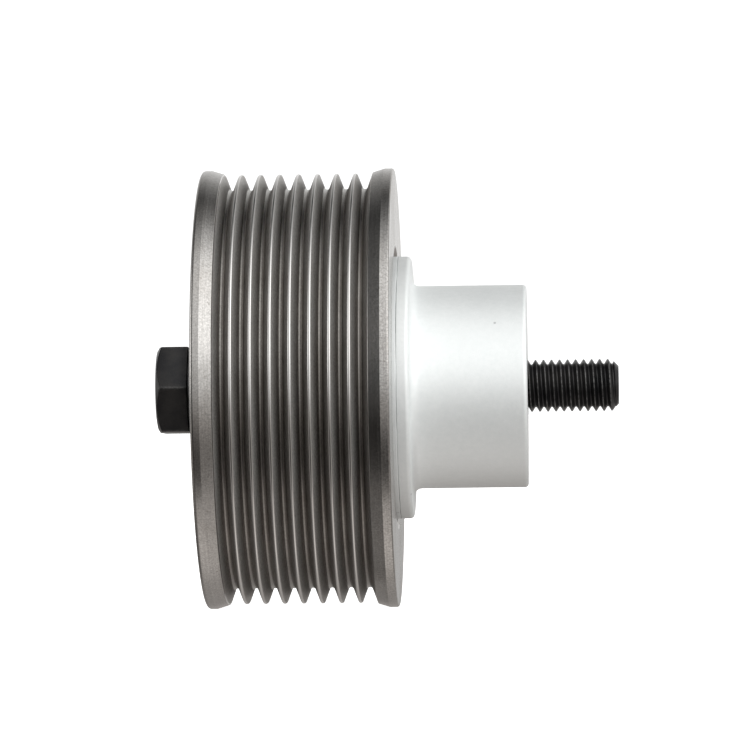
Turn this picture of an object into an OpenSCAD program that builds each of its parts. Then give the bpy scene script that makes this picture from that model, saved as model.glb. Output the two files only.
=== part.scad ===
// Multi-rib belt idler pulley on a flanged stand-off spacer, held by one hex bolt.
// Millimetres. The turning axis lies along X. The origin is the centre of the spacer's
// mounting face, +X points out of that face towards the bolt's thread end, +Z is up.

/* [Pulley] */
// Number of belt grooves
groove_count = 8; // [8:1:12]
// Distance from one rib to the next (PK section)
groove_pitch = 3.56; // [3.56]
// Radius at the rib tips
rib_tip_r = 40.26; // [38:0.01:44]
// Depth of a groove below the rib tips
groove_depth = 2.9; // [2.4:0.05:3]
// Half of the angle between a groove's two flanks, in degrees
groove_half_angle = 20; // [18:0.5:22]
// Height of the two rims above the rib tips
rim_rise = 0.87; // [0.4:0.01:2]
// Distance from a rim's outer face to the middle of its nearest groove
rim_to_groove = 5.44; // [5.2:0.01:7]
// Diameter of the counterbore in the rear face
rear_recess_d = 52; // [51:0.5:60]
// Depth of the counterbore in the rear face
rear_recess_depth = 3.5; // [2:0.1:3.6]

/* [Spacer] */
// Distance from the engine face to the pulley's rear face
standoff = 24.5; // [15:0.5:60]
// Diameter of the round barrel
barrel_d = 38; // [30:0.5:43]
// Diameter of the flange behind the pulley
flange_d = 49.2; // [48:0.1:50.5]
// How far the flange stands out of the pulley's rear face
flange_proud = 3.0; // [1:0.1:6]
// Diameter of the bolt hole through spacer and sleeve
bolt_hole_d = 10.5; // [10.3:0.1:11]

/* [Bolt] */
// Nominal thread diameter
bolt_d = 10; // [10]
// Thread pitch
bolt_pitch = 1.5; // [1.25:0.25:1.5]
// How far the thread stands out of the spacer's mounting face
thread_reach = 17; // [12:1:30]
// Size of the hexagon across its flats
hex_af = 16; // [16:1:17]
// Thickness of the head
head_t = 6.4; // [5.8:0.1:7]

/* [Bearings] */
// Bore of each ball bearing
bearing_bore = 20; // [20]
// Outside diameter of each ball bearing
bearing_od = 47; // [47]
// Width of each ball bearing
bearing_w = 14; // [14]
// Number of balls in each bearing
ball_count = 8; // [7:1:8]
// Diameter of a ball
ball_d = 7.938; // [7.938]

/* [Hidden] */
$fn = 96;

// colours
steel_dark = [0.42, 0.40, 0.39];
steel_bright = [0.72, 0.72, 0.73];
alloy = [0.90, 0.92, 0.92];
black_oxide = [0.08, 0.08, 0.08];
rubber_black = [0.05, 0.05, 0.05];

// stations along the axis, from the engine face towards the bolt head
rear_face_x = -standoff;                        // pulley's rear face
flange_rear_x = rear_face_x + flange_proud;     // flange's engine side
recess_x = rear_face_x - rear_recess_depth;     // floor of the counterbore
flange_front_x = recess_x + 0.4;                // flange clears the floor
ring_lip = 1.25;                                // steel between counterbore and circlip groove
circlip_t = 1.75;
bearing_rear_x = recess_x - ring_lip - circlip_t;
bearing_mid_x = bearing_rear_x - bearing_w;
bearing_front_x = bearing_mid_x - bearing_w;
front_lip_t = 1.3;
hub_front_x = bearing_front_x - front_lip_t;
collar_t = 1.2;
collar_x = bearing_front_x - collar_t;
shield_t = 0.8;
shield_x = collar_x - shield_t;
washer_t = 2;
head_seat_x = shield_x - washer_t;              // under the bolt's head

pulley_w = (groove_count - 1) * groove_pitch + 2 * rim_to_groove;
front_face_x = rear_face_x - pulley_w;
rim_r = rib_tip_r + rim_rise;
groove_bottom_r = rib_tip_r - groove_depth;
tan_g = tan(groove_half_angle);
rib_flat = 0.34;                                // flat left on a rib before its corners are rounded
root_half = (groove_pitch - rib_flat - 2 * 0.13) / 2 - groove_depth * tan_g;
rear_groove_x = rear_face_x - rim_to_groove;    // middle of the groove nearest the engine
front_lip_r = 20.5;

bolt_r = bolt_d / 2;
crest_r = bolt_r - 0.05;
root_r = bolt_r - 0.6134 * bolt_pitch;
shank_r = bolt_r - 0.325 * bolt_pitch;          // pitch-diameter shank
tip_x = thread_reach;
bolt_length = thread_reach - head_seat_x;       // 80 at the default sizes
thread_start = 0.6;                             // first full thread outside the mounting face
tip_chamfer = 1.1;
thread_turns = floor((tip_x - tip_chamfer - thread_start) / bolt_pitch);
hex_r = hex_af / 2 / cos(30);

ball_r = ball_d / 2;
pitch_r = (bearing_bore + bearing_od) / 4;
race_r = ball_r + 0.05;
inner_shoulder_r = pitch_r - 2.4;
outer_shoulder_r = pitch_r + 2.5;
seal_t = 1.2;
seal_in = 0.35;                                 // seal sits this far inside the bearing's side
cage_t = 0.9;
cage_half_w = 1.45;

// ---------- helpers ----------

// turns a profile of [radius, x] points about the X axis
module turned(profile) {
    rotate([0, 90, 0]) rotate_extrude() polygon(profile);
}

// plain round bar or disc about the X axis, from xa to xb
module bar_x(r, xa, xb) {
    translate([xa, 0, 0]) rotate([0, 90, 0]) cylinder(r = r, h = xb - xa);
}

// ---------- pulley ----------

// outline of one groove, from its engine side to its front side, at centre x = gx
function groove(gx, top_rear, top_front) = let (
        wr = root_half + (top_rear - groove_bottom_r) * tan_g,
        wf = root_half + (top_front - groove_bottom_r) * tan_g,
        k = 0.16)
    [[top_rear, gx + wr],
     [groove_bottom_r + k, gx + root_half + k * tan_g],
     [groove_bottom_r, gx + root_half - k],
     [groove_bottom_r, gx - root_half + k],
     [groove_bottom_r + k, gx - root_half - k * tan_g],
     [top_front, gx - wf]];

module pulley() {
    edge = 0.6;
    tip_drop = 0.12;
    taper_r = rib_tip_r + 0.2;
    tip_corner_r = rib_tip_r - tip_drop;
    grooves = [for (i = [0:groove_count - 1])
        each concat(
            groove(rear_groove_x - i * groove_pitch,
                   i == 0 ? taper_r : tip_corner_r,
                   i == groove_count - 1 ? taper_r : tip_corner_r),
            i == groove_count - 1 ? [] :
                [[rib_tip_r, rear_groove_x - (i + 0.5) * groove_pitch + rib_flat / 2],
                 [rib_tip_r, rear_groove_x - (i + 0.5) * groove_pitch - rib_flat / 2]])];
    color(steel_dark) difference() {
        turned(concat(
            [[rear_recess_d / 2, rear_face_x]],
            [for (i = [0:4]) [rim_r - edge * 0.7 + edge * 0.7 * sin(i * 22.5), rear_face_x - edge * 0.7 + edge * 0.7 * cos(i * 22.5)]],
            [[rim_r, rear_face_x - 1.7]],
            grooves,
            [[rim_r, front_face_x + 1.7]],
            [for (i = [0:4]) [rim_r - edge + edge * cos(i * 22.5), front_face_x + edge - edge * sin(i * 22.5)]],
            [[front_lip_r, front_face_x],
             [front_lip_r, bearing_front_x],
             [bearing_od / 2, bearing_front_x],
             [bearing_od / 2, bearing_rear_x - 0.01],
             [bearing_od / 2 + 1.25, bearing_rear_x - 0.01],
             [bearing_od / 2 + 1.25, bearing_rear_x + circlip_t],
             [bearing_od / 2, bearing_rear_x + circlip_t],
             [bearing_od / 2, recess_x],
             [rear_recess_d / 2, recess_x]]));
        // a wider pulley gets a deeper front mouth, so the hub keeps its place
        if (hub_front_x - front_face_x > 0.02)
            bar_x(26, front_face_x - 1, hub_front_x);
        // small chamfer at the mouth of the rear counterbore
        translate([rear_face_x - 0.4, 0, 0]) rotate([0, 90, 0])
            cylinder(r1 = rear_recess_d / 2, r2 = rear_recess_d / 2 + 0.5, h = 0.5);
        // small chamfer at the front mouth
        translate([max(front_face_x, hub_front_x) - 0.1, 0, 0]) rotate([0, 90, 0])
            cylinder(r1 = front_lip_r + 0.5, r2 = front_lip_r, h = 0.5);
    }
}

// ---------- spacer ----------

module spacer() {
    fr = flange_d / 2;
    br = barrel_d / 2;
    hr = bolt_hole_d / 2;
    er = 0.7;
    fillet = 1.5;
    color(alloy) turned(concat(
        [[hr, -0.5], [hr + 0.5, 0]],
        [for (i = [0:5]) [br - er + er * sin(i * 18), -er + er * cos(i * 18)]],
        [for (i = [0:5]) [br + fillet - fillet * cos(i * 18), flange_rear_x + fillet - fillet * sin(i * 18)]],
        [for (i = [0:5]) [fr - er + er * sin(i * 18), flange_rear_x - er + er * cos(i * 18)]],
        [for (i = [0:4]) [fr - 0.4 + 0.4 * cos(i * 22.5), flange_front_x + 0.4 - 0.4 * sin(i * 22.5)]],
        [[13.5 + 0.4, flange_front_x],
         [13.5, flange_front_x - 0.4],
         [13.5, bearing_rear_x + 0.4],
         [13.1, bearing_rear_x],
         [hr, bearing_rear_x]]));
}

// ---------- sleeve, shield, washer, circlip ----------

module bearing_sleeve() {
    hr = bolt_hole_d / 2;
    r = bearing_bore / 2;
    color(steel_bright) turned([
        [hr, bearing_rear_x], [r - 0.4, bearing_rear_x], [r, bearing_rear_x - 0.4],
        [r, bearing_front_x], [13.1, bearing_front_x], [13.5, bearing_front_x - 0.4],
        [13.5, collar_x], [hr, collar_x]]);
}

// pressed disc with a raised middle, a sloping step and a small turned-in lip
module front_dust_shield() {
    color(steel_bright) turned([
        [bolt_hole_d / 2, collar_x], [14.2, collar_x], [15.0, collar_x + 0.5], [19.3, collar_x + 0.5],
        [19.3, collar_x + 0.9], [20.0, collar_x + 0.9],
        [20.0, collar_x - 0.05], [19.75, collar_x - 0.3], [15.34, collar_x - 0.3], [14.54, shield_x], [bolt_hole_d / 2, shield_x]]);
}

module washer() {
    color(black_oxide) turned([
        [bolt_hole_d / 2, head_seat_x], [9.7, head_seat_x], [10, head_seat_x + 0.3],
        [10, shield_x - 0.15], [9.85, shield_x], [bolt_hole_d / 2, shield_x]]);
}

module snap_ring() {
    ring_out = bearing_od / 2 + 1.2;
    ring_in = 20.2;
    xa = bearing_rear_x + 0.05;
    t = circlip_t - 0.1;
    color([0.25, 0.25, 0.26]) difference() {
        union() {
            // band
            difference() {
                bar_x(ring_out, xa, xa + t);
                bar_x(ring_in, xa - 1, xa + t + 1);
            }
            // two ears beside the gap
            intersection() {
                for (s = [-1, 1])
                    translate([xa, 0, 0]) rotate([90 + s * 12, 0, 0]) translate([0, 19.3, 0])
                        rotate([0, 90, 0]) cylinder(r = 3.0, h = t);
                bar_x(ring_out - 0.5, xa, xa + t);
            }
        }
        // gap between the ears
        translate([xa - 1, -2.2, 15]) cube([t + 2, 4.4, 12]);
        // plier holes
        for (s = [-1, 1])
            translate([xa - 1, 0, 0]) rotate([90 + s * 12, 0, 0]) translate([0, 19.0, 0])
                rotate([0, 90, 0]) cylinder(r = 1.15, h = t + 2);
    }
}

// ---------- bolt ----------

module bolt() {
    seat = head_seat_x;
    turns = thread_turns;
    rake = (crest_r - root_r) * 0.57735;
    land = bolt_pitch / 8;
    rings = [for (i = [0:turns - 1]) let (x = thread_start + i * bolt_pitch)
        each [[root_r, x], [crest_r, x + rake], [crest_r, x + rake + land], [root_r, x + 2 * rake + land]]];
    chamfer_top_r = hex_r - 1.84;
    color(black_oxide) union() {
        // shank, thread and end
        turned(concat(
            [[0, seat - 0.5], [shank_r, seat - 0.5], [shank_r, thread_start - 0.3]],
            rings,
            [[root_r, tip_x - tip_chamfer * 0.55], [root_r - 0.75, tip_x], [0, tip_x]]));
        // washer face under the head
        bar_x(7.3, seat - 0.5, seat);
        // chamfered hexagon
        intersection() {
            translate([seat - head_t, 0, 0]) rotate([27, 0, 0]) rotate([0, 90, 0])
                cylinder(r = hex_r, h = head_t - 0.4, $fn = 6);
            turned([[0, seat - head_t - 0.01], [chamfer_top_r, seat - head_t - 0.01],
                    [chamfer_top_r + 2.6, seat - head_t - 0.01 + 2.6 * 0.57735],
                    [chamfer_top_r + 2.6, seat], [0, seat]]);
        }
    }
}

// ---------- ball bearing ----------

// b is the middle plane of the bearing
module inner_ring(b) {
    w = bearing_w / 2;
    r0 = bearing_bore / 2;
    color(steel_bright) difference() {
        turned([[r0, b - w + 0.5], [r0 + 0.5, b - w], [inner_shoulder_r, b - w],
                [inner_shoulder_r, b + w], [r0 + 0.5, b + w], [r0, b + w - 0.5]]);
        translate([b, 0, 0]) rotate([0, 90, 0]) rotate_extrude() translate([pitch_r, 0]) circle(r = race_r);
    }
}

module outer_ring(b) {
    w = bearing_w / 2;
    r1 = bearing_od / 2;
    lip = outer_shoulder_r + 0.75;
    a = w - seal_in - seal_t - 0.05;
    color(steel_bright) difference() {
        turned([[outer_shoulder_r + 0.3, b - w], [r1 - 0.5, b - w], [r1, b - w + 0.5], [r1, b + w - 0.5],
                [r1 - 0.5, b + w], [outer_shoulder_r + 0.3, b + w], [outer_shoulder_r + 0.3, b + a + seal_t + 0.05], [lip, b + a + seal_t + 0.05],
                [lip, b + a], [outer_shoulder_r, b + a],
                [outer_shoulder_r, b - a], [lip, b - a], [lip, b - a - seal_t - 0.05], [outer_shoulder_r + 0.3, b - a - seal_t - 0.05]]);
        translate([b, 0, 0]) rotate([0, 90, 0]) rotate_extrude() translate([pitch_r, 0]) circle(r = race_r);
    }
}

// rubber seal: snapped into the outer ring, with a lip beside the inner ring; s = -1 faces the bolt head
module seal(b, s) {
    w = bearing_w / 2;
    xo = w - seal_in - 0.02;
    xi = xo - seal_t + 0.05;
    color(rubber_black) turned([for (p = [
        [inner_shoulder_r + 0.06, xi + 0.25], [inner_shoulder_r + 0.5, xi], [outer_shoulder_r + 0.7, xi],
        [outer_shoulder_r + 0.7, xo], [outer_shoulder_r + 0.25, xo], [outer_shoulder_r - 0.5, xo - 0.2],
        [inner_shoulder_r + 1.3, xo - 0.2], [inner_shoulder_r + 0.9, xo], [inner_shoulder_r + 0.06, xo - 0.1]]) [p[0], b + s * p[1]]]);
}

module balls(b) {
    color([0.8, 0.8, 0.82])
    for (i = [0:ball_count - 1])
        rotate([i * 360 / ball_count, 0, 0]) translate([b, 0, pitch_r]) sphere(r = ball_r);
}

// one half of a pressed ribbon cage: flat bridges joined by half-round pockets
module cage_half(b, s) {
    shell_r = ball_r + 0.07 + 0.75;
    far = shell_r + 1;
    color([0.70, 0.66, 0.55]) difference() {
        union() {
            // pockets
            for (i = [0:ball_count - 1]) rotate([i * 360 / ball_count, 0, 0]) intersection() {
                translate([b, 0, pitch_r]) sphere(r = shell_r);
                translate([s > 0 ? b : b - far, -6, pitch_r - cage_half_w]) cube([far, 12, 2 * cage_half_w]);
            }
            // flat bridges
            difference() {
                bar_x(pitch_r + cage_half_w - 0.1, s > 0 ? b : b - cage_t, s > 0 ? b + cage_t : b);
                bar_x(pitch_r - cage_half_w + 0.1, b - far, b + far);
            }
        }
        for (i = [0:ball_count - 1])
            rotate([i * 360 / ball_count, 0, 0]) translate([b, 0, pitch_r]) sphere(r = ball_r + 0.07);
        // rivet holes
        for (i = [0:ball_count - 1])
            rotate([(i + 0.5) * 360 / ball_count, 0, 0]) translate([b - far, 0, pitch_r]) rotate([0, 90, 0]) cylinder(r = 0.6, h = 2 * far);
    }
}

// rivets between the pockets, with low round heads on both sides
module cage_rivets(b) {
    color([0.75, 0.72, 0.62])
    for (i = [0:ball_count - 1])
        rotate([(i + 0.5) * 360 / ball_count, 0, 0]) translate([0, 0, pitch_r])
            turned([[0, b - cage_t - 0.5], [0.5, b - cage_t - 0.42], [0.95, b - cage_t - 0.05], [0.95, b - cage_t], [0.58, b - cage_t],
                    [0.58, b + cage_t], [0.95, b + cage_t], [0.95, b + cage_t + 0.05], [0.5, b + cage_t + 0.42], [0, b + cage_t + 0.5]]);
}

front_b = (bearing_front_x + bearing_mid_x) / 2;
rear_b = (bearing_mid_x + bearing_rear_x) / 2;

module front_bearing_inner_ring() { inner_ring(front_b); }
module front_bearing_outer_ring() { outer_ring(front_b); }
module front_bearing_outboard_seal() { seal(front_b, -1); }
module front_bearing_inboard_seal() { seal(front_b, 1); }
module front_cage_outboard_half() { cage_half(front_b, -1); }
module front_cage_inboard_half() { cage_half(front_b, 1); }
module front_cage_rivets() { cage_rivets(front_b); }
module front_balls() { balls(front_b); }
module rear_bearing_inner_ring() { inner_ring(rear_b); }
module rear_bearing_outer_ring() { outer_ring(rear_b); }
module rear_bearing_outboard_seal() { seal(rear_b, -1); }
module rear_bearing_inboard_seal() { seal(rear_b, 1); }
module rear_cage_outboard_half() { cage_half(rear_b, -1); }
module rear_cage_inboard_half() { cage_half(rear_b, 1); }
module rear_cage_rivets() { cage_rivets(rear_b); }
module rear_balls() { balls(rear_b); }

spacer();
bearing_sleeve();
front_dust_shield();
washer();
bolt();
pulley();
snap_ring();
front_bearing_inner_ring();
front_bearing_outer_ring();
front_bearing_outboard_seal();
front_bearing_inboard_seal();
front_cage_outboard_half();
front_cage_inboard_half();
front_cage_rivets();
front_balls();
rear_bearing_inner_ring();
rear_bearing_outer_ring();
rear_bearing_outboard_seal();
rear_bearing_inboard_seal();
rear_cage_outboard_half();
rear_cage_inboard_half();
rear_cage_rivets();
rear_balls();
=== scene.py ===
import math
import random

import bmesh
import bpy
from mathutils import Matrix, Vector, noise


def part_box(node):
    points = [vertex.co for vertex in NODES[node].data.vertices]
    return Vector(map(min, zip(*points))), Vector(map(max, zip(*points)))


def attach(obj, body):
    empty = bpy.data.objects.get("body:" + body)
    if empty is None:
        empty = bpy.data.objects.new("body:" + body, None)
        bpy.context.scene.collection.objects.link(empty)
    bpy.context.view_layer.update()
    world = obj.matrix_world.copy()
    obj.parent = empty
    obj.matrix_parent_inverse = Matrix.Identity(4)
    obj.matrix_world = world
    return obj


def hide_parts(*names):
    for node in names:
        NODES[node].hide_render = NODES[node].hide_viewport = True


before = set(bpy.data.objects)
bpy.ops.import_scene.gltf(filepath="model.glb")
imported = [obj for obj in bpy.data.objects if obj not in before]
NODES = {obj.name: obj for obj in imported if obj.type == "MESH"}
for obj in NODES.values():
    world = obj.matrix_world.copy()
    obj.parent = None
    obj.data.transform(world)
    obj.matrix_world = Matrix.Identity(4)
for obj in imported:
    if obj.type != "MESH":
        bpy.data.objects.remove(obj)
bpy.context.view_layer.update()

MM = 0.001

# ---------------------------------------------------------------- stations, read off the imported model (mm)


def span(node):
    lo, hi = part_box(node)
    return lo.x / MM, hi.x / MM, min(hi.y, hi.z) / MM


PUL_F, PUL_R, RIM_R = span("pulley")            # front face, rear face, rim radius
SP_F, SP_FACE, FLANGE_R = span("spacer")        # boss end, mounting face, flange radius
BOLT_F, BOLT_TIP, _ = span("bolt")              # head's outer face, thread end
WASH_F, WASH_R, WASH_RAD = span("washer")
SHIELD_F, SHIELD_R, SHIELD_RAD = span("front_dust_shield")
SEAT = WASH_F                                   # under the bolt head

# ---------------------------------------------------------------- camera, before anything else

F_PX = 4419.0
DIST = 830.0
YAW = math.radians(-2.3)
ROLL = math.radians(-0.75)
PULLEY_C = Vector(((PUL_F + PUL_R) / 2, 0, 0))
PULLEY_AT = Vector((-13.72, 2.6, DIST))          # where that centre stands, camera frame: right, down, forward


def camera():
    u = Vector((math.cos(YAW) * math.cos(ROLL), math.cos(YAW) * math.sin(ROLL), math.sin(YAW)))
    up = Vector((0, -1, 0))
    z = (up - up.dot(u) * u).normalized()
    y = z.cross(u)
    m = Matrix((u, y, z)).transposed()          # row frame -> camera frame
    c = PULLEY_C - m.transposed() @ PULLEY_AT
    right, down, fwd = m.row[0], m.row[1], m.row[2]
    cam = bpy.data.cameras.new("camera")
    cam.lens = F_PX * 36.0 / 750.0
    cam.sensor_width = 36.0
    cam.clip_start = 0.01
    cam.clip_end = 50
    o = bpy.data.objects.new("camera", cam)
    bpy.context.scene.collection.objects.link(o)
    rot = Matrix((right, -down, -fwd)).transposed()
    o.matrix_world = Matrix.Translation(c * MM) @ rot.to_4x4()
    bpy.context.scene.camera = o


camera()

# ---------------------------------------------------------------- node material helpers


class Nodes:
    """A small wrapper that makes node graphs readable."""

    def __init__(self, name):
        self.mat = bpy.data.materials.new(name)
        self.mat.use_nodes = True
        self.t = self.mat.node_tree
        for n in list(self.t.nodes):
            self.t.nodes.remove(n)
        self.out = self.t.nodes.new("ShaderNodeOutputMaterial")
        self.b = self.t.nodes.new("ShaderNodeBsdfPrincipled")
        self.t.links.new(self.b.outputs[0], self.out.inputs[0])
        self._xyz = None

    def new(self, kind, **props):
        n = self.t.nodes.new(kind)
        for k, v in props.items():
            setattr(n, k, v)
        return n

    def put(self, socket, value):
        if isinstance(value, bpy.types.NodeSocket):
            self.t.links.new(value, socket)
        elif value is not None:
            socket.default_value = value

    def math(self, op, a, b=None, c=None, clamp=False):
        n = self.new("ShaderNodeMath", operation=op, use_clamp=clamp)
        self.put(n.inputs[0], a)
        self.put(n.inputs[1], b)
        self.put(n.inputs[2], c)
        return n.outputs[0]

    def xyz(self):
        if self._xyz is None:
            tc = self.new("ShaderNodeTexCoord")
            s = self.new("ShaderNodeSeparateXYZ")
            self.t.links.new(tc.outputs["Object"], s.inputs[0])
            self._obj = tc.outputs["Object"]
            self._xyz = s.outputs
        return self._xyz

    def obj(self):
        self.xyz()
        return self._obj

    def radius(self):
        x, y, z = self.xyz()
        return self.math("SQRT", self.math("ADD", self.math("MULTIPLY", y, y), self.math("MULTIPLY", z, z)))

    def vec(self, a, b, c):
        n = self.new("ShaderNodeCombineXYZ")
        for i, v in enumerate((a, b, c)):
            self.put(n.inputs[i], v)
        return n.outputs[0]

    def noise(self, vector, scale, detail=3.0, rough=0.55, w=None, distortion=0.0):
        n = self.new("ShaderNodeTexNoise", noise_dimensions="4D" if w is not None else "3D")
        self.put(n.inputs["Vector"], vector)
        n.inputs["Scale"].default_value = scale
        n.inputs["Detail"].default_value = detail
        n.inputs["Roughness"].default_value = rough
        n.inputs["Distortion"].default_value = distortion
        if w is not None:
            self.put(n.inputs["W"], w)
        return n.outputs["Fac"]

    def ramp(self, fac, stops, interp="LINEAR"):
        n = self.new("ShaderNodeValToRGB")
        n.color_ramp.interpolation = interp
        e = n.color_ramp.elements
        while len(e) < len(stops):
            e.new(0.5)
        for el, (p, c) in zip(e, stops):
            el.position = p
            el.color = (*c, 1.0) if len(c) == 3 else c
        self.put(n.inputs[0], fac)
        return n.outputs[0]

    def remap(self, v, a, b, c, d, smooth=False):
        n = self.new("ShaderNodeMapRange", clamp=True)
        if smooth:
            n.interpolation_type = "SMOOTHSTEP"
        self.put(n.inputs["Value"], v)
        for k, val in zip(("From Min", "From Max", "To Min", "To Max"), (a, b, c, d)):
            n.inputs[k].default_value = val
        return n.outputs[0]

    def mix(self, fac, a, b, blend="MIX"):
        n = self.new("ShaderNodeMix", data_type="RGBA", blend_type=blend)
        self.put(n.inputs[0], fac)
        for s, v in ((n.inputs[6], a), (n.inputs[7], b)):
            if isinstance(v, bpy.types.NodeSocket):
                self.t.links.new(v, s)
            else:
                s.default_value = (*v, 1.0)
        return n.outputs[2]

    def bump(self, height, strength, distance, normal=None):
        n = self.new("ShaderNodeBump")
        n.inputs["Strength"].default_value = strength
        n.inputs["Distance"].default_value = distance
        self.put(n.inputs["Height"], height)
        if normal is not None:
            self.put(n.inputs["Normal"], normal)
        return n.outputs[0]

    def rings(self, k, c, detail=3.0, rough=0.6):
        """Noise stretched round the X axis: fine along x and r, slow round the circle. k is cells per metre, c cells per radian."""
        x, y, z = self.xyz()
        r = self.math("MAXIMUM", self.radius(), 1e-5)
        v = self.vec(self.math("MULTIPLY", x, k), self.math("MULTIPLY", self.math("DIVIDE", y, r), c),
                     self.math("MULTIPLY", self.math("DIVIDE", z, r), c))
        return self.noise(v, 1.0, detail, rough, w=self.math("MULTIPLY", r, k))


PITCH = 3.56                                    # belt rib pitch
TIP_R = RIM_R - 0.87
ROOT_R = TIP_R - 2.9


WITNESS_X = -23.9                               # witness line on the rim of the spacer's flange


def turned_steel():
    n = Nodes("turned_steel")
    b = n.b
    x, y, z = n.xyz()
    r = n.radius()
    fine = n.rings(5200.0, 2.2, 4.0, 0.65)
    broad = n.rings(900.0, 1.2, 2.0, 0.5)
    blotch = n.noise(n.obj(), 70.0, 4.0, 0.6, distortion=0.6)
    speck = n.noise(n.obj(), 900.0, 2.0, 0.7)
    col = n.mix(n.remap(fine, 0.3, 0.72, 0, 1), (0.40, 0.388, 0.374), (0.54, 0.53, 0.516))
    col = n.mix(n.remap(broad, 0.35, 0.7, 0, 0.55), col, (0.43, 0.417, 0.40))
    col = n.mix(n.remap(blotch, 0.45, 0.72, 0, 0.45), col, (0.36, 0.335, 0.308))
    col = n.mix(n.remap(speck, 0.62, 0.75, 0, 0.5), col, (0.26, 0.24, 0.22))
    # painted shade: the grooves are darkened, fading out towards the rib tips
    deep = n.remap(r, (RIM_R - 3.6) * MM, (RIM_R - 1.0) * MM, 1, 0, smooth=True)
    half = (PUL_R - PUL_F) / 2
    off = n.math("ABSOLUTE", n.math("SUBTRACT", x, (PUL_F + half) * MM))
    between = n.math("LESS_THAN", off, (half - 1.66) * MM)
    inside = n.math("MULTIPLY", n.math("GREATER_THAN", r, (RIM_R - 4.5) * MM), between)
    groove_shade = n.math("MULTIPLY", deep, inside)
    # the painted groove shade is strongest on the left-facing flanks and faint on the right-facing flanks, which face
    # the light
    geo = n.new("ShaderNodeNewGeometry")
    nsep = n.new("ShaderNodeSeparateXYZ")
    n.put(nsep.inputs[0], geo.outputs["Normal"])
    shaded_side = n.remap(nsep.outputs[0], 0.15, 0.7, 1.0, 0.12)
    groove_shade_mask = n.math("MULTIPLY", n.math("MULTIPLY", groove_shade, n.remap(blotch, 0.3, 0.7, 0.45, 0.9)), shaded_side)
    col = n.mix(groove_shade_mask, col, (0.168, 0.158, 0.145))
    # the rib tips are rubbed bright
    tip = n.math("MULTIPLY", n.math("MULTIPLY", n.remap(r, (TIP_R - 0.12) * MM, TIP_R * MM, 0, 1), n.math("LESS_THAN", r, (TIP_R + 0.08) * MM)), between)
    col = n.mix(n.math("MULTIPLY", tip, 0.85), col, (0.78, 0.77, 0.755))
    # painted shade: the groove roots are darkened further, which dims their reflection
    root_shade = n.math("MULTIPLY", n.remap(r, (ROOT_R + 0.1) * MM, (ROOT_R + 0.45) * MM, 1, 0), inside)
    col = n.mix(n.math("MULTIPLY", root_shade, 0.5), col, (0.24, 0.225, 0.205))
    grain = n.noise(n.obj(), 2900.0, 1.5, 0.6)
    # grain, plus painted shade across the pulley: lighter at the front face, darker towards the rear face
    shade_and_grain = n.math("SUBTRACT", n.remap(x, -0.060, -0.024, 1.04, 0.94), n.math("MULTIPLY", n.math("MULTIPLY", n.math("SUBTRACT", grain, 0.5), 0.84), n.math("SUBTRACT", 1.0, tip)))
    # painted shade and light on the two rims' lands: the front one a little duller, the rear one brighter
    land = n.math("GREATER_THAN", r, (RIM_R - 0.3) * MM)
    front = n.math("MULTIPLY", land, n.math("LESS_THAN", x, (PUL_F + 1.7) * MM))
    rear = n.math("MULTIPLY", land, n.math("GREATER_THAN", x, (PUL_R - 1.7) * MM))
    shade_and_grain = n.math("MULTIPLY", shade_and_grain, n.math("SUBTRACT", 1.0, n.math("MULTIPLY", front, 0.05)))
    shade_and_grain = n.math("MULTIPLY", shade_and_grain, n.math("ADD", 1.0, n.math("MULTIPLY", rear, 0.09)))
    shade = n.vec(shade_and_grain, shade_and_grain, shade_and_grain)
    col = n.mix(1.0, col, shade, "MULTIPLY")
    n.put(b.inputs["Base Color"], col)
    flank = n.math("MULTIPLY", n.math("MULTIPLY", inside, n.math("LESS_THAN", r, (TIP_R - 0.10) * MM)),
                   n.remap(r, (ROOT_R + 0.12) * MM, (ROOT_R + 0.4) * MM, 0, 1))
    # the right-facing flank is left matt by the tool, so it scatters more than it mirrors
    matt = n.math("MULTIPLY", flank, n.remap(nsep.outputs[0], 0.3, 0.8, 0.0, 0.32))
    matt = n.math("MULTIPLY", matt, n.remap(r, (ROOT_R + 0.7) * MM, (TIP_R - 0.25) * MM, 0.1, 1.0))
    n.put(b.inputs["Metallic"], n.math("SUBTRACT", 1.0, matt))
    rough = n.remap(fine, 0.25, 0.75, 0.15, 0.24)
    rough = n.math("ADD", rough, n.remap(blotch, 0.4, 0.75, 0.0, 0.08))
    rough = n.math("SUBTRACT", rough, n.math("MULTIPLY", tip, 0.07))
    rough = n.math("ADD", rough, n.math("MULTIPLY", flank, 0.24))
    n.put(b.inputs["Roughness"], rough)
    nb = n.bump(fine, 0.5, 0.000010)
    nb = n.bump(n.math("MULTIPLY", grain, n.math("SUBTRACT", 1.0, tip)), 0.35, 0.000012, nb)
    nb = n.bump(speck, 0.25, 0.000015, nb)
    n.put(b.inputs["Normal"], nb)
    return n.mat


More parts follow.
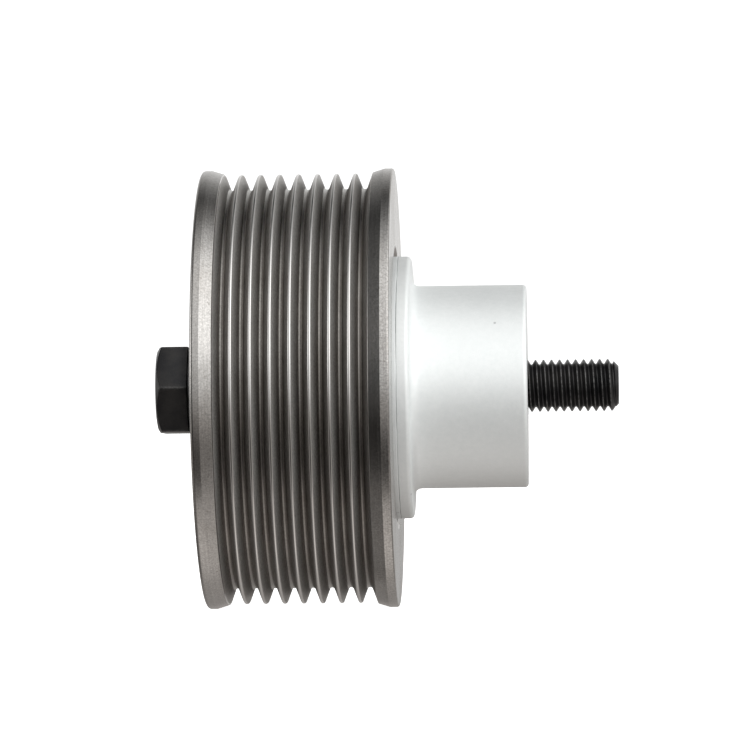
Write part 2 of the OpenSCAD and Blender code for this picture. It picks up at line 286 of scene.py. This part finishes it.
def cast_alloy():
    n = Nodes("cast_alloy")
    b = n.b
    grain = n.noise(n.obj(), 5200.0, 3.0, 0.7)
    mid = n.noise(n.obj(), 1100.0, 3.0, 0.6)
    low = n.noise(n.obj(), 90.0, 3.0, 0.5)
    v = n.new("ShaderNodeTexVoronoi", feature="F1")
    n.put(v.inputs["Vector"], n.obj())
    v.inputs["Scale"].default_value = 330.0
    size = n.math("MULTIPLY", n.remap(n.noise(n.obj(), 240.0, 0.0), 0.62, 0.72, 0.0, 0.10), 1.0)
    pit = n.math("LESS_THAN", v.outputs["Distance"], size)
    col = n.mix(n.remap(mid, 0.3, 0.75, 0, 1), (0.88, 0.905, 0.905), (0.93, 0.95, 0.95))
    col = n.mix(n.remap(low, 0.4, 0.75, 0, 0.35), col, (0.86, 0.885, 0.885))
    col = n.mix(n.remap(grain, 0.55, 0.8, 0, 0.4), col, (0.72, 0.74, 0.75))
    col = n.mix(n.math("MULTIPLY", pit, 0.6), col, (0.45, 0.46, 0.46))
    # a thin dark witness line on the flange's rim that fades in and out round the circle
    x, y, z = n.xyz()
    near = n.remap(n.math("ABSOLUTE", n.math("SUBTRACT", x, WITNESS_X * MM)), 0.00004, 0.00011, 1, 0)
    out = n.math("GREATER_THAN", n.radius(), (FLANGE_R - 0.3) * MM)
    patch = n.remap(n.noise(n.obj(), 60.0, 2.0, 0.6), 0.42, 0.60, 0, 0.75)
    col = n.mix(n.math("MULTIPLY", n.math("MULTIPLY", near, out), patch), col, (0.20, 0.21, 0.22))
    n.put(b.inputs["Base Color"], col)
    b.inputs["Metallic"].default_value = 0.60
    n.put(b.inputs["Roughness"], n.remap(mid, 0.25, 0.75, 0.50, 0.60))
    nb = n.bump(grain, 0.30, 0.000030)
    nb = n.bump(mid, 0.20, 0.000060, nb)
    nb = n.bump(n.math("SUBTRACT", 1.0, pit), 0.5, 0.00005, nb)
    n.put(b.inputs["Normal"], nb)
    return n.mat


def black_oxide(name="black_oxide", edge=True):
    n = Nodes(name)
    b = n.b
    cloud = n.noise(n.obj(), 260.0, 4.0, 0.6)
    fine = n.noise(n.obj(), 3200.0, 3.0, 0.65)
    col = n.mix(n.remap(cloud, 0.35, 0.7, 0, 1), (0.030, 0.030, 0.032), (0.058, 0.056, 0.055))
    col = n.mix(n.remap(fine, 0.6, 0.8, 0, 0.5), col, (0.075, 0.073, 0.071))
    if edge:
        a = n.new("ShaderNodeAttribute", attribute_name="wear")
        wear = n.math("MULTIPLY", a.outputs["Fac"], n.remap(n.noise(n.obj(), 1500.0, 3.0, 0.7), 0.38, 0.62, 0.1, 1))
        col = n.mix(n.math("MULTIPLY", wear, 0.75), col, (0.34, 0.335, 0.33))
    n.put(b.inputs["Base Color"], col)
    b.inputs["Metallic"].default_value = 0.85
    n.put(b.inputs["Roughness"], n.remap(cloud, 0.3, 0.7, 0.27, 0.40))
    nb = n.bump(fine, 0.25, 0.000020)
    n.put(b.inputs["Normal"], nb)
    return n.mat


def plain_metal(name, lo, hi, rough, ring_k=2600.0, spin=True, bump=0.25, spots=None):
    n = Nodes(name)
    b = n.b
    f = n.rings(ring_k, 3.0, 3.0, 0.6) if spin else n.noise(n.obj(), 1400.0, 3.0, 0.6)
    cloud = n.noise(n.obj(), 160.0, 3.0, 0.6)
    col = n.mix(n.remap(f, 0.3, 0.7, 0, 1), lo, hi)
    col = n.mix(n.remap(cloud, 0.45, 0.75, 0, 0.35), col, spots or lo)
    n.put(b.inputs["Base Color"], col)
    b.inputs["Metallic"].default_value = 1.0
    n.put(b.inputs["Roughness"], n.remap(cloud, 0.3, 0.7, rough - 0.05, rough + 0.07))
    n.put(b.inputs["Normal"], n.bump(f, bump, 0.000008))
    return n.mat


def seal_rubber():
    n = Nodes("seal_rubber")
    b = n.b
    f = n.noise(n.obj(), 2400.0, 3.0, 0.6)
    ring = n.rings(1200.0, 1.0, 2.0, 0.5)
    col = n.mix(n.remap(f, 0.35, 0.7, 0, 1), (0.012, 0.012, 0.013), (0.028, 0.027, 0.027))
    col = n.mix(n.remap(ring, 0.55, 0.7, 0, 0.4), col, (0.045, 0.044, 0.042))
    n.put(b.inputs["Base Color"], col)
    n.put(b.inputs["Roughness"], n.remap(f, 0.3, 0.7, 0.55, 0.7))
    b.inputs["Specular IOR Level"].default_value = 0.4
    n.put(b.inputs["Normal"], n.bump(f, 0.3, 0.00003))
    return n.mat


STEEL = turned_steel()
ALLOY = cast_alloy()
OXIDE = black_oxide()
OXIDE_WASHER = black_oxide("black_oxide_washer")
GROUND = plain_metal("ground_steel", (0.50, 0.50, 0.51), (0.66, 0.66, 0.67), 0.24)
ZINC = plain_metal("zinc_plate", (0.60, 0.61, 0.62), (0.74, 0.75, 0.75), 0.27, ring_k=700.0, bump=0.15, spots=(0.50, 0.51, 0.55))
SPRING = plain_metal("spring_steel", (0.10, 0.095, 0.09), (0.17, 0.16, 0.15), 0.42, spin=False)
RACE = plain_metal("bearing_steel", (0.60, 0.60, 0.61), (0.72, 0.72, 0.73), 0.16)
CAGE = plain_metal("cage_steel", (0.46, 0.43, 0.38), (0.62, 0.58, 0.51), 0.30, spin=False)
BALL = plain_metal("ball_steel", (0.74, 0.74, 0.75), (0.80, 0.80, 0.81), 0.07, spin=False, bump=0.02)
RUBBER = seal_rubber()

# ---------------------------------------------------------------- mesh helpers (all lengths in mm, written out in m)


def filleted(points, seg=6, support=0.06):
    """A closed outline of (r, x, corner radius) turned into (r, x) points, with arcs at the corners and a
    supporting point close to each end of every straight run, so that smooth shading stays flat between them."""
    n = len(points)
    runs = []
    for i in range(n):
        p0, p1, p2 = (Vector(points[(i + k) % n][:2]) for k in (-1, 0, 1))
        rad = points[i][2] if len(points[i]) > 2 else 0.0
        a, b = (p0 - p1), (p2 - p1)
        la, lb = a.length, b.length
        a.normalize()
        b.normalize()
        dot = max(-1.0, min(1.0, a.dot(b)))
        half = math.acos(dot) / 2
        if rad <= 0 or half > math.pi / 2 - 0.01:
            runs.append([p1])
            continue
        t = rad / math.tan(half)
        t = min(t, 0.49 * la, 0.49 * lb)
        rr = t * math.tan(half)
        s, e = p1 + a * t, p1 + b * t
        centre = p1 + (a + b).normalized() * (rr / math.sin(half))
        va, vb = s - centre, e - centre
        ang = math.acos(max(-1, min(1, va.normalized().dot(vb.normalized()))))
        k = max(2, int(math.ceil(seg * ang / (math.pi / 2))))
        sign = 1 if (va.x * vb.y - va.y * vb.x) > 0 else -1
        arc = []
        for j in range(k + 1):
            th = sign * ang * j / k
            arc.append(centre + Vector((va.x * math.cos(th) - va.y * math.sin(th), va.x * math.sin(th) + va.y * math.cos(th))))
        runs.append(arc)
    out = []
    for i in range(n):
        out += runs[i]
        s, e = runs[i][-1], runs[(i + 1) % n][0]
        d = e - s
        if d.length > 3.5 * support:
            u = d.normalized()
            out.append(s + u * support)
            if d.length > 6:
                k = int(d.length // 3)
                out += [s + d * (j / k) for j in range(1, k)]
            out.append(e - u * support)
    return [(p.x, p.y) for p in out]


def finish_mesh(name, bm, mat, body, replaces=(), sharp=32.0):
    bmesh.ops.remove_doubles(bm, verts=bm.verts, dist=1e-7)
    bmesh.ops.recalc_face_normals(bm, faces=bm.faces)
    me = bpy.data.meshes.new(name)
    bm.to_mesh(me)
    bm.free()
    me.polygons.foreach_set("use_smooth", [True] * len(me.polygons))
    me.set_sharp_from_angle(angle=math.radians(sharp))
    me.materials.append(mat)
    o = bpy.data.objects.new(name, me)
    bpy.context.scene.collection.objects.link(o)
    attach(o, body)
    if replaces:
        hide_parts(*replaces)
    return o


def add_turned(bm, outline, seg, warp=None):
    """Turns a closed outline of (r, x) about the X axis. Points with r = 0 become poles."""
    rings = []
    for r, x in outline:
        if r < 1e-6:
            rings.append([bm.verts.new((x * MM, 0, 0))])
            continue
        ring = []
        for k in range(seg):
            a = 2 * math.pi * k / seg
            rr, xx = (r, x) if warp is None else warp(r, x, a)
            ring.append(bm.verts.new((xx * MM, rr * math.sin(a) * MM, rr * math.cos(a) * MM)))
        rings.append(ring)
    m = len(rings)
    for i in range(m):
        a, b = rings[i], rings[(i + 1) % m]
        if len(a) == 1 and len(b) == 1:
            continue
        for k in range(seg):
            k2 = (k + 1) % seg
            if len(a) == 1:
                bm.faces.new((a[0], b[k2], b[k]))
            elif len(b) == 1:
                bm.faces.new((a[k], a[k2], b[0]))
            else:
                bm.faces.new((a[k], a[k2], b[k2], b[k]))
    return rings


# ---------------------------------------------------------------- pulley

GROOVES = 8
RIM_LAND = 1.7
EDGE_TO_GROOVE = ((PUL_R - PUL_F) - (GROOVES - 1) * PITCH) / 2
TAN = math.tan(math.radians(20))


def pulley_mesh():
    tip_flat, root_half = 0.46, 0.4245
    pts = [(26.5, PUL_R, 0), (RIM_R, PUL_R, 0.42), (RIM_R, PUL_R - RIM_LAND, 0.1)]
    gx0 = PUL_R - EDGE_TO_GROOVE
    taper_r = TIP_R + 0.2
    for i in range(GROOVES):
        gx = gx0 - i * PITCH
        hr = root_half + (taper_r - ROOT_R) * TAN
        ht = PITCH / 2 - tip_flat / 2
        # near side of the groove
        if i == 0:
            pts.append((taper_r, gx + hr, 0.18))
        else:
            pts.append((TIP_R + 0.04, gx + ht, 0.3))
        pts.append((ROOT_R, gx + root_half, 0.58))
        pts.append((ROOT_R, gx - root_half, 0.58))
        if i == GROOVES - 1:
            pts.append((taper_r, gx - hr, 0.18))
        else:
            pts.append((TIP_R + 0.04, gx - ht, 0.3))
    pts += [(RIM_R, PUL_F + RIM_LAND, 0.1), (RIM_R, PUL_F, 0.6)]
    # shallow turned relief on the front face, then the lip of the hub
    pts += [(21.0, PUL_F, 0.1), (20.5, PUL_F + 0.5, 0.05), (20.5, PUL_F + 1.3, 0), (23.5, PUL_F + 1.3, 0), (23.5, -31.01, 0),
            (24.75, -31.01, 0), (24.75, -29.25, 0), (23.5, -29.25, 0.05), (23.5, -28.0, 0.12), (26.0, -28.0, 0.2), (26.0, PUL_R - 0.5, 0.04)]
    outline = filleted(pts, seg=7, support=0.05)
    bm = bmesh.new()
    add_turned(bm, outline, 288)
    return finish_mesh("pulley_turned", bm, STEEL, "pulley", ("pulley",), sharp=40)


# ---------------------------------------------------------------- spacer


def spacer_mesh():
    fr, br = FLANGE_R, 19.0
    rear, front = -21.5, -27.6
    line = WITNESS_X
    pts = [(5.25, -0.5, 0), (5.75, 0, 0.05), (br, 0, 0.75), (br, rear, 1.5), (fr, rear, 0.8),
           (fr, line + 0.11, 0.03), (fr - 0.07, line, 0.03), (fr, line - 0.11, 0.03),
           (fr, front, 0.4), (13.5, front, 0.4), (13.5, SP_F, 0.4), (5.25, SP_F, 0)]
    outline = filleted(pts, seg=8, support=0.08)
    rnd = random.Random(5)
    off = Vector((rnd.uniform(0, 50), 3.0, 7.0))

    def warp(r, x, a):
        # the blasted casting isn't perfectly true: a few hundredths of a millimetre, inwards only
        if r < 12:
            return r, x
        p = Vector((x * 0.09, r * math.cos(a) * 0.09, r * math.sin(a) * 0.09)) + off
        d = 0.022 * (noise.noise(p) - 0.6)
        return r + d, x
    bm = bmesh.new()
    add_turned(bm, outline, 256, warp)
    return finish_mesh("spacer_blasted", bm, ALLOY, "stand_off", ("spacer",), sharp=40)


# ---------------------------------------------------------------- bolt

BP = 1.5                                        # thread pitch
HEX_TURN = 27.0                                 # a corner of the head stands just above the camera's level
CREST, ROOT_TH = 4.87, 4.05


def thread_r(f):
    """Radius of a rolled metric thread at a fraction f of the pitch; 0 is the middle of the crest."""
    f = abs((f + 0.5) % 1.0 - 0.5)              # 0 at the crest, 0.5 at the root
    crest_h, root_h = 0.0625, 0.40
    if f <= crest_h:
        return CREST
    if f >= root_h:
        g = (f - root_h) / (0.5 - root_h)
        return ROOT_TH - 0.05 * (1 - (1 - g) ** 2)
    g = (f - crest_h) / (root_h - crest_h)
    return CREST + (ROOT_TH - CREST) * g


def helical_thread(bm, x0, x1, n=96, rows=20):
    """A right-hand helical thread from x0 to x1, closed at both ends, with a chamfered end at x1 and a run-out at x0."""
    dx = BP / rows
    lo, hi = x0 - BP, x1 + BP
    v0, v1 = int(math.floor(lo / dx)) - rows, int(math.ceil(hi / dx)) + rows
    grid = {}
    chamfer_r = 3.55

    def vert(i, v):
        # column i of n, row v; one turn shifts the rows by a whole pitch
        if i == n:
            i, v = 0, v + rows
        key = (i, v)
        if key not in grid:
            x = v * dx + BP * i / n
            r = thread_r(v / rows)
            run = max(0.0, min(1.0, (x - x0) / 3.2))
            r = 4.46 + (r - 4.46) * run if run < 1 else r
            c = chamfer_r + (x1 - x) * 1.05
            if r > c:
                r = max(c, 0.6)
            a = 2 * math.pi * i / n
            grid[key] = bm.verts.new((x * MM, -r * math.sin(a) * MM, r * math.cos(a) * MM))
        return grid[key]
    for i in range(n):
        for v in range(v0 + rows, v1 - rows):
            bm.faces.new((vert(i, v), vert(i, v + 1), vert(i + 1, v + 1), vert(i + 1, v)))
    for x, sgn in ((x0, -1), (x1, 1)):
        g = bm.verts[:] + bm.edges[:] + bm.faces[:]
        bmesh.ops.bisect_plane(bm, geom=g, plane_co=(x * MM, 0, 0), plane_no=(sgn, 0, 0), clear_outer=True, dist=1e-8)
    loops = [e for e in bm.edges if e.is_boundary]
    bmesh.ops.holes_fill(bm, edges=loops, sides=0)


def rounded_hex(theta, af, rho):
    """Distance from the centre to the outline of a hexagon with rounded corners, at angle theta from a corner."""
    s = math.pi / 3
    d = (theta + s / 2) % s - s / 2             # angle from the nearest corner
    c = (af / 2 - rho) / math.cos(math.pi / 6)
    sq = rho * rho - (c * math.sin(d)) ** 2
    if sq > 0:
        r = c * math.cos(d) + math.sqrt(sq)
        if math.atan2(r * math.sin(abs(d)), r * math.cos(d) - c) <= math.pi / 6 + 1e-6:
            return r
    return (af / 2) / math.cos(math.pi / 6 - abs(d))


def hex_head(bm, turn):
    """Bolt head: chamfered hexagon with slightly rounded corners, washer face below and a shallow dish on top."""
    af, top, under = 15.95, BOLT_F, SEAT - 0.4
    r_top = 7.42
    cols = []
    for k in range(6):
        base = k * 60.0
        cols += [base + d for d in (-30, -22, -14, -8, -5.2, -4.0, -3.0, -2.2, -1.5, -0.8, 0, 0.8, 1.5, 2.2, 3.0, 4.0, 5.2, 8, 14, 22)]
    rings = []
    for deg in cols:
        th = math.radians(deg)
        r = rounded_hex(th, af, 0.45)
        a = th + math.radians(turn)
        xc = top + (r - r_top) * 0.57735        # where the chamfer cone meets the flat
        col = [(7.3, under), (r - 0.18, under), (r - 0.05, under - 0.05), (r, under - 0.18), (r, (under + xc) / 2)]
        col += [(r, xc + 0.16), (r - 0.02, xc + 0.05), (r - 0.08, xc - 0.046)]
        col += [(r + (r_top - r) * f, xc + (top - xc) * f) for f in (0.3, 0.6)]
        col += [(r_top + 0.12, top + 0.069), (r_top + 0.03, top + 0.017), (r_top - 0.08, top), (6.6, top), (6.3, top + 0.03), (5.9, top + 0.14), (5.5, top + 0.18), (2.5, top + 0.18)]
        rings.append([bm.verts.new((x * MM, -rr * math.sin(a) * MM, rr * math.cos(a) * MM)) for rr, x in col])
    n = len(rings)
    tip = bm.verts.new(((top + 0.18) * MM, 0, 0))
    foot = bm.verts.new((under * MM, 0, 0))
    for k in range(n):
        a, b = rings[k], rings[(k + 1) % n]
        for i in range(len(a) - 1):
            bm.faces.new((a[i], a[i + 1], b[i + 1], b[i]))
        bm.faces.new((a[-1], tip, b[-1]))
        bm.faces.new((a[0], b[0], foot))


def bolt_mesh():
    bm = bmesh.new()
    helical_thread(bm, -10.5, BOLT_TIP)
    # plain shank with its neck under the head, then the washer face
    neck = filleted([(0, SEAT - 0.6, 0), (7.3, SEAT - 0.6, 0), (7.3, SEAT, 0.08), (5.15, SEAT, 0.1), (4.93, SEAT + 0.6, 0.3), (4.93, -9.6, 0.2), (4.3, -8.7, 0.15), (0, -8.7, 0)], seg=5, support=0.1)
    add_turned(bm, neck, 96)
    hex_head(bm, HEX_TURN)
    o = finish_mesh("bolt_threaded", bm, OXIDE, "bolt", ("bolt",), sharp=34)
    me = o.data
    at = me.attributes.new("wear", "FLOAT", "POINT")
    vals = []
    for v in me.vertices:
        x, y, z = (c / MM for c in v.co)
        r = math.hypot(y, z)
        w = 0.0
        if x > -10:                             # thread crests
            w = max(0.0, min(1.0, (r - 4.78) / 0.17))
        elif x < SEAT - 0.3:
            th = math.degrees(math.atan2(-y, z)) - HEX_TURN
            d = abs((th + 30) % 60 - 30)
            if r > 8.6:
                w = max(0.0, 1 - d / 3.0) * 0.3
            if abs(r - 7.45) < 0.16 and x < BOLT_F + 0.2:
                w = max(w, 0.3)
        vals.append(w)
    at.data.foreach_set("value", vals)
    return o


# ---------------------------------------------------------------- washer and dust shield


def washer_mesh():
    pts = [(5.25, WASH_F, 0.1), (WASH_RAD, WASH_F, 0.3), (WASH_RAD, WASH_R, 0.15), (5.25, WASH_R, 0.1)]
    bm = bmesh.new()
    add_turned(bm, filleted(pts, seg=5, support=0.08), 128)
    o = finish_mesh("washer_pressed", bm, OXIDE_WASHER, "bolt_washer", ("washer",), sharp=40)
    at = o.data.attributes.new("wear", "FLOAT", "POINT")
    at.data.foreach_set("value", [max(0.0, min(1.0, (math.hypot(v.co.y, v.co.z) / MM - WASH_RAD + 0.5) / 0.4)) * 0.7 for v in o.data.vertices])
    return o


def shield_mesh():
    f, rr = SHIELD_F, SHIELD_RAD
    step = 0.5
    inner = f + 0.8
    pts = [(5.25, inner, 0.05), (14.2, inner, 0.5), (15.0, inner + step, 0.5), (rr - 0.7, inner + step, 0.15), (rr - 0.7, inner + step + 0.4, 0.05),
           (rr, inner + step + 0.4, 0.05), (rr, f + step, 0.45), (15.34, f + step, 0.9), (14.54, f, 0.9), (5.25, f, 0.08)]
    bm = bmesh.new()
    add_turned(bm, filleted(pts, seg=6, support=0.08), 160)
    return finish_mesh("dust_shield_pressed", bm, ZINC, "stand_off", ("front_dust_shield",), sharp=40)


pulley_mesh()
spacer_mesh()
bolt_mesh()
washer_mesh()
shield_mesh()

# ---------------------------------------------------------------- CAD pieces that stay


def finish_cad(material, *names):
    for name in names:
        o = NODES[name]
        if not o.material_slots:
            o.data.materials.append(material)
        for s in o.material_slots:
            s.material = material


finish_cad(GROUND, "bearing_sleeve")
finish_cad(SPRING, "snap_ring")
finish_cad(RACE, "front_bearing_inner_ring", "front_bearing_outer_ring", "rear_bearing_inner_ring", "rear_bearing_outer_ring")
finish_cad(RUBBER, "front_bearing_outboard_seal", "front_bearing_inboard_seal", "rear_bearing_outboard_seal", "rear_bearing_inboard_seal")
finish_cad(CAGE, "front_cage_outboard_half", "front_cage_inboard_half", "front_cage_rivets", "rear_cage_outboard_half", "rear_cage_inboard_half", "rear_cage_rivets")
finish_cad(BALL, "front_balls", "rear_balls")
finish_cad(STEEL, "pulley")
finish_cad(ALLOY, "spacer")
finish_cad(OXIDE, "bolt", "washer")
finish_cad(ZINC, "front_dust_shield")

# ---------------------------------------------------------------- floor and soft studio light


def floor():
    bm = bmesh.new()
    z = -(RIM_R + 0.02) * MM
    s = 4.0
    vs = [bm.verts.new(p) for p in ((-s, -s, z), (s, -s, z), (s, s, z), (-s, s, z))]
    bm.faces.new(vs)
    me = bpy.data.meshes.new("floor")
    bm.to_mesh(me)
    bm.free()
    m = bpy.data.materials.new("pale_floor")
    m.use_nodes = True
    t = m.node_tree
    b = t.nodes["Principled BSDF"]
    b.inputs["Base Color"].default_value = (0.9, 0.9, 0.9, 1)
    b.inputs["Roughness"].default_value = 0.9
    b.inputs["Emission Color"].default_value = (1, 1, 1, 1)
    b.inputs["Emission Strength"].default_value = 1.0
    me.materials.append(m)
    o = bpy.data.objects.new("floor", me)
    bpy.context.scene.collection.objects.link(o)
    o.visible_glossy = False
    o.visible_diffuse = False


def studio():
    """Soft studio light: a big bright box in front and above, a darker band overhead, pale ground below, right side brighter."""
    w = bpy.data.worlds.new("studio")
    bpy.context.scene.world = w
    w.use_nodes = True
    t = w.node_tree
    for n in list(t.nodes):
        t.nodes.remove(n)
    L = t.links.new
    out = t.nodes.new("ShaderNodeOutputWorld")
    tc = t.nodes.new("ShaderNodeTexCoord")
    sep = t.nodes.new("ShaderNodeSeparateXYZ")
    L(tc.outputs["Generated"], sep.inputs[0])

    def mt(op, a, b=None):
        n = t.nodes.new("ShaderNodeMath")
        n.operation = op
        for s, v in zip(n.inputs, (a, b)):
            if isinstance(v, bpy.types.NodeSocket):
                L(v, s)
            elif v is not None:
                s.default_value = v
        return n.outputs[0]
    ang = mt("ARCTAN2", sep.outputs[2], mt("MULTIPLY", sep.outputs[1], -1.0))      # 0 in front, 90 overhead, 180 behind
    f = mt("ADD", mt("MULTIPLY", ang, 1 / (2 * math.pi)), 0.5)

    def ramp(fac, stops, top):
        n = t.nodes.new("ShaderNodeValToRGB")
        n.color_ramp.interpolation = "EASE"
        e = n.color_ramp.elements
        while len(e) < len(stops):
            e.new(0.5)
        for el, (d, v) in zip(e, stops):
            el.position = d
            el.color = (v / top, v / top, v / top, 1)
        L(fac, n.inputs[0])
        return mt("MULTIPLY", n.outputs[0], top)
    middle = [(-180, .55), (-166, .42), (-154, .36), (-124, .46), (-108, .66), (-92, .80), (-76, .72), (-63, .60), (-53, .24), (-42, .10), (-28, .12), (-18, .27), (-7, .50), (5, .80), (16, 1.0), (40, 1.18),
              (60, 1.24), (74, .98), (88, .50), (104, .20), (120, .07), (134, .30), (150, .65), (165, .85), (180, .95)]
    sides = [(-180, .50), (-150, .40), (-110, .34), (-85, .42), (-62, .46), (-45, .34), (-30, .28), (-14, .50), (5, 1.05), (30, 2.0), (60, 2.05), (88, 1.42), (110, .64), (150, .70), (180, .95)]
    mid = ramp(f, [((d + 180) / 360, v) for d, v in middle], 1.8)
    end = ramp(f, [((d + 180) / 360, v) for d, v in sides], 2.2)
    fx = mt("ADD", mt("MULTIPLY", sep.outputs[0], 0.5), 0.5)
    lean = ramp(fx, [((x + 1) / 2, v) for x, v in ((-1, 1.0), (-.82, .85), (-.72, .22), (-.62, .08), (-.42, .08), (-.22, .58), (-.09, 1.0), (-.03, 1.0), (.1, 1.0), (.5, 1.0), (1, .85))], 1.6)
    away = ramp(fx, [((x + 1) / 2, v) for x, v in ((-1, 1), (-.55, 1), (-.2, 0), (.2, 0), (.55, 1), (1, 1))], 1.0)
    # the dark strip on the left stands only in front; behind, that side is as bright as the rest
    back = ramp(mt("ADD", mt("MULTIPLY", sep.outputs[1], 0.5), 0.5), [(0, 0), (.65, 0), (.88, 1), (1, 1)], 1.0)
    back = mt("MULTIPLY", back, ramp(fx, [(0, 1), (.38, 1), (.48, 0), (1, 0)], 1.0))
    lean = mt("ADD", mt("MULTIPLY", lean, mt("SUBTRACT", 1.0, back)), mt("MULTIPLY", back, 0.8))
    # and it fades towards the floor, which also throws a little warmth up
    fz = mt("ADD", mt("MULTIPLY", sep.outputs[2], 0.5), 0.5)
    low = mt("MULTIPLY", ramp(fz, [(0, 1), (.09, .77), (.25, .27), (.42, 0), (1, 0)], 1.0), ramp(fx, [(0, 1), (.32, 1), (.42, 0), (1, 0)], 1.0))
    lean = mt("MAXIMUM", lean, mt("MULTIPLY", low, 0.62))
    warm = ramp(fz, [(0, 1), (.36, 1), (.53, 0), (1, 0)], 1.0)
    val = mt("MULTIPLY", mt("ADD", mt("MULTIPLY", mid, mt("SUBTRACT", 1.0, away)), mt("MULTIPLY", end, away)), lean)
    bg = t.nodes.new("ShaderNodeBackground")
    col = t.nodes.new("ShaderNodeCombineColor")
    for i, (k, drop) in enumerate(((1.0, 0.0), (0.995, 0.052), (0.985, 0.085))):
        L(mt("MULTIPLY", val, mt("SUBTRACT", k, mt("MULTIPLY", warm, drop))), col.inputs[i])
    L(col.outputs[0], bg.inputs[0])
    white = t.nodes.new("ShaderNodeBackground")
    white.inputs[0].default_value = (1, 1, 1, 1)
    white.inputs[1].default_value = 1.2
    lp = t.nodes.new("ShaderNodeLightPath")
    mix = t.nodes.new("ShaderNodeMixShader")
    L(lp.outputs["Is Camera Ray"], mix.inputs[0])
    L(bg.outputs[0], mix.inputs[1])
    L(white.outputs[0], mix.inputs[2])
    L(mix.outputs[0], out.inputs[0])


def soft_box():
    """A broad soft box in front, above and a little to the right; it only lights matt surfaces."""
    l = bpy.data.lights.new("soft_box", "AREA")
    l.shape = "RECTANGLE"
    l.size, l.size_y = 1.3, 0.7
    l.energy = 10.1
    l.color = (0.97, 1.0, 1.0)
    o = bpy.data.objects.new("soft_box", l)
    bpy.context.scene.collection.objects.link(o)
    at = Vector((0.15, -1.1, 0.42))
    d = (Vector((-0.02, 0, 0)) - at).normalized()
    o.rotation_euler = d.to_track_quat("-Z", "Y").to_euler()
    o.location = at
    o.visible_glossy = False
    o.visible_camera = False


floor()
studio()
soft_box()
vs = bpy.context.scene.view_settings
vs.view_transform = "Standard"
vs.look = "None"
vs.exposure = 0.0
vs.gamma = 1.0
